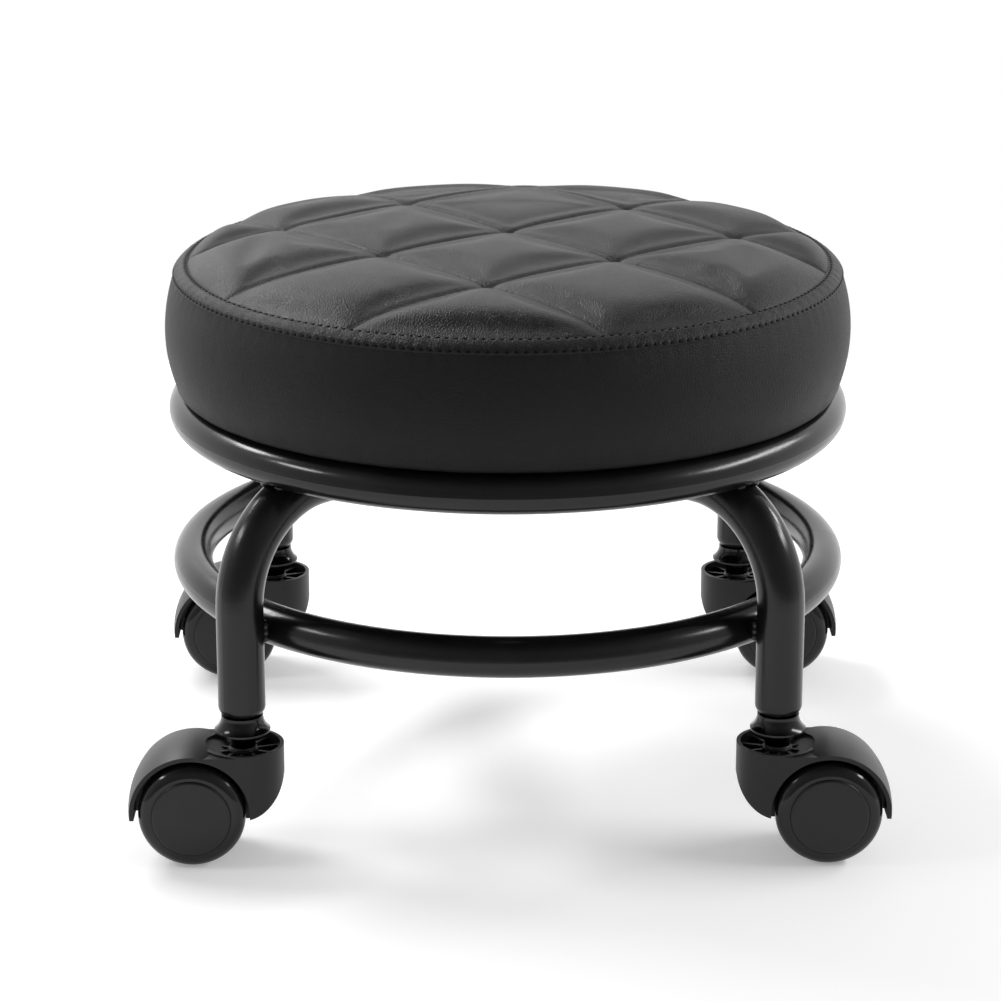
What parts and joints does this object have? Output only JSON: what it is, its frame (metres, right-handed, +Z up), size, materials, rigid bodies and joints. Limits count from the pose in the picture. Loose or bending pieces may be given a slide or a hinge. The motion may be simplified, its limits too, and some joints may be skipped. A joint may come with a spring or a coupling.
{
  "type": "pedicure stool",
  "caption": "Low round rolling stool with a quilted leather seat on a black tubular frame with a foot ring and hooded twin-wheel swivel casters.",
  "frame": {"origin": "on the floor, under the middle of the seat", "axes": "+Z up, -Y towards the user, X along the line in which the casters trail, which is the longest side"},
  "size_m": [0.3564, 0.3318, 0.265],
  "materials": {
    "leather": "satin",
    "foam": "matte",
    "plywood": "matte",
    "dust_cloth": "matte",
    "zinc_steel": "satin",
    "powder_coat": "gloss",
    "black_chrome": "polished",
    "hood_plastic": "satin",
    "wheel_nylon": "satin",
    "cap_plastic": "satin"
  },
  "bodies": {
    "root": {"seat_top_panel": "leather", "seat_side_band": "leather", "seat_foam": "foam", "seat_board": "plywood", "tee_nuts": "zinc_steel", "dust_cover": "dust_cloth", "staples": "zinc_steel", "seat_screws": "zinc_steel", "seat_washers": "zinc_steel", "upper_ring": "powder_coat", "lower_ring": "powder_coat", "leg_bow": "powder_coat", "half_bow_right": "powder_coat", "half_bow_left": "powder_coat", "seat_tabs": "powder_coat", "weld_beads": "powder_coat", "leg_inserts": "zinc_steel", "caster_fl_stem": "black_chrome", "caster_fl_thrust_washer": "zinc_steel", "caster_fl_clip": "zinc_steel", "caster_fr_stem": "black_chrome", "caster_fr_thrust_washer": "zinc_steel", "caster_fr_clip": "zinc_steel", "caster_rl_stem": "black_chrome", "caster_rl_thrust_washer": "zinc_steel", "caster_rl_clip": "zinc_steel", "caster_rr_stem": "black_chrome", "caster_rr_thrust_washer": "zinc_steel", "caster_rr_clip": "zinc_steel"},
    "swivel_fl": {"caster_fl_hood": "hood_plastic", "caster_fl_axle": "zinc_steel"},
    "wheel_fl_front": {"caster_fl_wheel_front": "wheel_nylon", "caster_fl_cap_front": "cap_plastic"},
    "wheel_fl_back": {"caster_fl_wheel_back": "wheel_nylon", "caster_fl_cap_back": "cap_plastic"},
    "swivel_fr": {"caster_fr_hood": "hood_plastic", "caster_fr_axle": "zinc_steel"},
    "wheel_fr_front": {"caster_fr_wheel_front": "wheel_nylon", "caster_fr_cap_front": "cap_plastic"},
    "wheel_fr_back": {"caster_fr_wheel_back": "wheel_nylon", "caster_fr_cap_back": "cap_plastic"},
    "swivel_rl": {"caster_rl_hood": "hood_plastic", "caster_rl_axle": "zinc_steel"},
    "wheel_rl_front": {"caster_rl_wheel_front": "wheel_nylon", "caster_rl_cap_front": "cap_plastic"},
    "wheel_rl_back": {"caster_rl_wheel_back": "wheel_nylon", "caster_rl_cap_back": "cap_plastic"},
    "swivel_rr": {"caster_rr_hood": "hood_plastic", "caster_rr_axle": "zinc_steel"},
    "wheel_rr_front": {"caster_rr_wheel_front": "wheel_nylon", "caster_rr_cap_front": "cap_plastic"},
    "wheel_rr_back": {"caster_rr_wheel_back": "wheel_nylon", "caster_rr_cap_back": "cap_plastic"}
  },
  "joints": [
    {"name": "swivel_fl", "type": "hinge", "parent": "root", "child": "swivel_fl", "pos_m": [-0.12452, -0.12452, 0.045], "axis": [0, 0, 1], "continuous": true},
    {"name": "roll_fl_front", "type": "hinge", "parent": "swivel_fl", "child": "wheel_fl_front", "pos_m": [-0.14772, -0.13912, 0.025], "axis": [0, 1, 0], "continuous": true},
    {"name": "roll_fl_back", "type": "hinge", "parent": "swivel_fl", "child": "wheel_fl_back", "pos_m": [-0.14772, -0.10992, 0.025], "axis": [0, 1, 0], "continuous": true},
    {"name": "swivel_fr", "type": "hinge", "parent": "root", "child": "swivel_fr", "pos_m": [0.12452, -0.12452, 0.045], "axis": [0, 0, 1], "continuous": true},
    {"name": "roll_fr_front", "type": "hinge", "parent": "swivel_fr", "child": "wheel_fr_front", "pos_m": [0.14772, -0.13912, 0.025], "axis": [0, 1, 0], "continuous": true},
    {"name": "roll_fr_back", "type": "hinge", "parent": "swivel_fr", "child": "wheel_fr_back", "pos_m": [0.14772, -0.10992, 0.025], "axis": [0, 1, 0], "continuous": true},
    {"name": "swivel_rl", "type": "hinge", "parent": "root", "child": "swivel_rl", "pos_m": [-0.12452, 0.12452, 0.045], "axis": [0, 0, 1], "continuous": true},
    {"name": "roll_rl_front", "type": "hinge", "parent": "swivel_rl", "child": "wheel_rl_front", "pos_m": [-0.14772, 0.10992, 0.025], "axis": [0, 1, 0], "continuous": true},
    {"name": "roll_rl_back", "type": "hinge", "parent": "swivel_rl", "child": "wheel_rl_back", "pos_m": [-0.14772, 0.13912, 0.025], "axis": [0, 1, 0], "continuous": true},
    {"name": "swivel_rr", "type": "hinge", "parent": "root", "child": "swivel_rr", "pos_m": [0.12452, 0.12452, 0.045], "axis": [0, 0, 1], "continuous": true},
    {"name": "roll_rr_front", "type": "hinge", "parent": "swivel_rr", "child": "wheel_rr_front", "pos_m": [0.14772, 0.10992, 0.025], "axis": [0, 1, 0], "continuous": true},
    {"name": "roll_rr_back", "type": "hinge", "parent": "swivel_rr", "child": "wheel_rr_back", "pos_m": [0.14772, 0.13912, 0.025], "axis": [0, 1, 0], "continuous": true}
  ]
}
